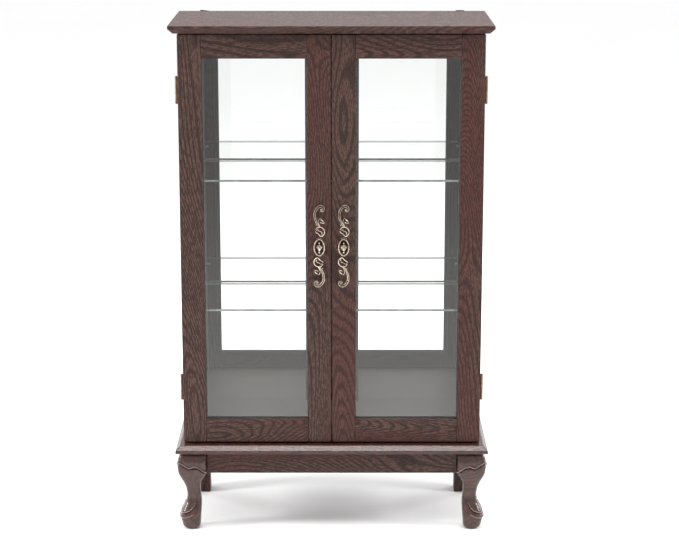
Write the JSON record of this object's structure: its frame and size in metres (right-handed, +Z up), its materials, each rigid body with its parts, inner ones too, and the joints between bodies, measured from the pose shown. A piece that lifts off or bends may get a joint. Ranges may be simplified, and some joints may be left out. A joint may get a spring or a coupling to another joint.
{
  "type": "china cabinet",
  "caption": "Free-standing wooden display cabinet with glazed hinged doors, glass shelves, a mirrored back and curved front legs.",
  "frame": {"origin": "on the floor, under the middle of the case's bounding box", "axes": "+Z up, the doors face -Y, +X to the right of someone facing the doors"},
  "size_m": [0.6, 0.2887, 0.9817],
  "materials": {
    "wood": "dark red-brown stained open-grain wood, satin lacquer",
    "laminate": "smooth grey-brown laminated board, satin",
    "backboard": "thin wood-grain board, matt",
    "mirror": "silvered glass",
    "glass": "clear float glass with polished edges",
    "brass": "aged brass plate",
    "bronze": "antique bronze with rubbed pale-gold highlights",
    "steel": "bright zinc-plated steel",
    "webbing": "black woven webbing",
    "plastic": "pale moulded plastic"
  },
  "bodies": {
    "cabinet": {"top_board": "wood", "base_board": "wood", "back_batten": "wood", "front_apron": "wood", "rear_apron": "wood", "bottom_panel": "laminate", "left_side_panel": "wood", "left_front_leg": "wood", "left_rear_leg": "wood", "left_apron": "wood", "left_back_panel": "backboard", "left_mirror": "mirror", "left_strap": "webbing", "left_wall_plug": "plastic", "lower_front_left_shelf_pin": "steel", "lower_rear_left_shelf_pin": "steel", "lower_left_hinge_frame_leaf": "brass", "lower_left_hinge_pin": "brass", "upper_front_left_shelf_pin": "steel", "upper_rear_left_shelf_pin": "steel", "upper_left_hinge_frame_leaf": "brass", "upper_left_hinge_pin": "brass", "right_side_panel": "wood", "right_front_leg": "wood", "right_rear_leg": "wood", "right_apron": "wood", "right_back_panel": "backboard", "right_mirror": "mirror", "right_strap": "webbing", "right_wall_plug": "plastic", "lower_front_right_shelf_pin": "steel", "lower_rear_right_shelf_pin": "steel", "lower_right_hinge_frame_leaf": "brass", "lower_right_hinge_pin": "brass", "upper_front_right_shelf_pin": "steel", "upper_rear_right_shelf_pin": "steel", "upper_right_hinge_frame_leaf": "brass", "upper_right_hinge_pin": "brass", "lower_glass_shelf": "glass", "upper_glass_shelf": "glass", "magnetic_catch": "steel"},
    "left_door": {"left_door_inner_stile": "wood", "left_door_outer_stile": "wood", "left_door_top_rail": "wood", "left_door_bottom_rail": "wood", "left_door_glass": "glass", "left_strike_plate": "steel", "left_pull": "bronze", "lower_left_hinge_door_leaf": "brass", "upper_left_hinge_door_leaf": "brass"},
    "right_door": {"right_door_inner_stile": "wood", "right_door_outer_stile": "wood", "right_door_top_rail": "wood", "right_door_bottom_rail": "wood", "right_door_glass": "glass", "right_strike_plate": "steel", "right_pull": "bronze", "lower_right_hinge_door_leaf": "brass", "upper_right_hinge_door_leaf": "brass"}
  },
  "joints": [
    {"name": "left_door_hinge", "type": "hinge", "parent": "cabinet", "child": "left_door", "pos_m": [-0.2881, -0.0985, 0.57], "axis": [0, 0, -1], "range_deg": [0, 180]},
    {"name": "right_door_hinge", "type": "hinge", "parent": "cabinet", "child": "right_door", "pos_m": [0.2881, -0.0985, 0.57], "axis": [0, 0, 1], "range_deg": [0, 180]}
  ]
}
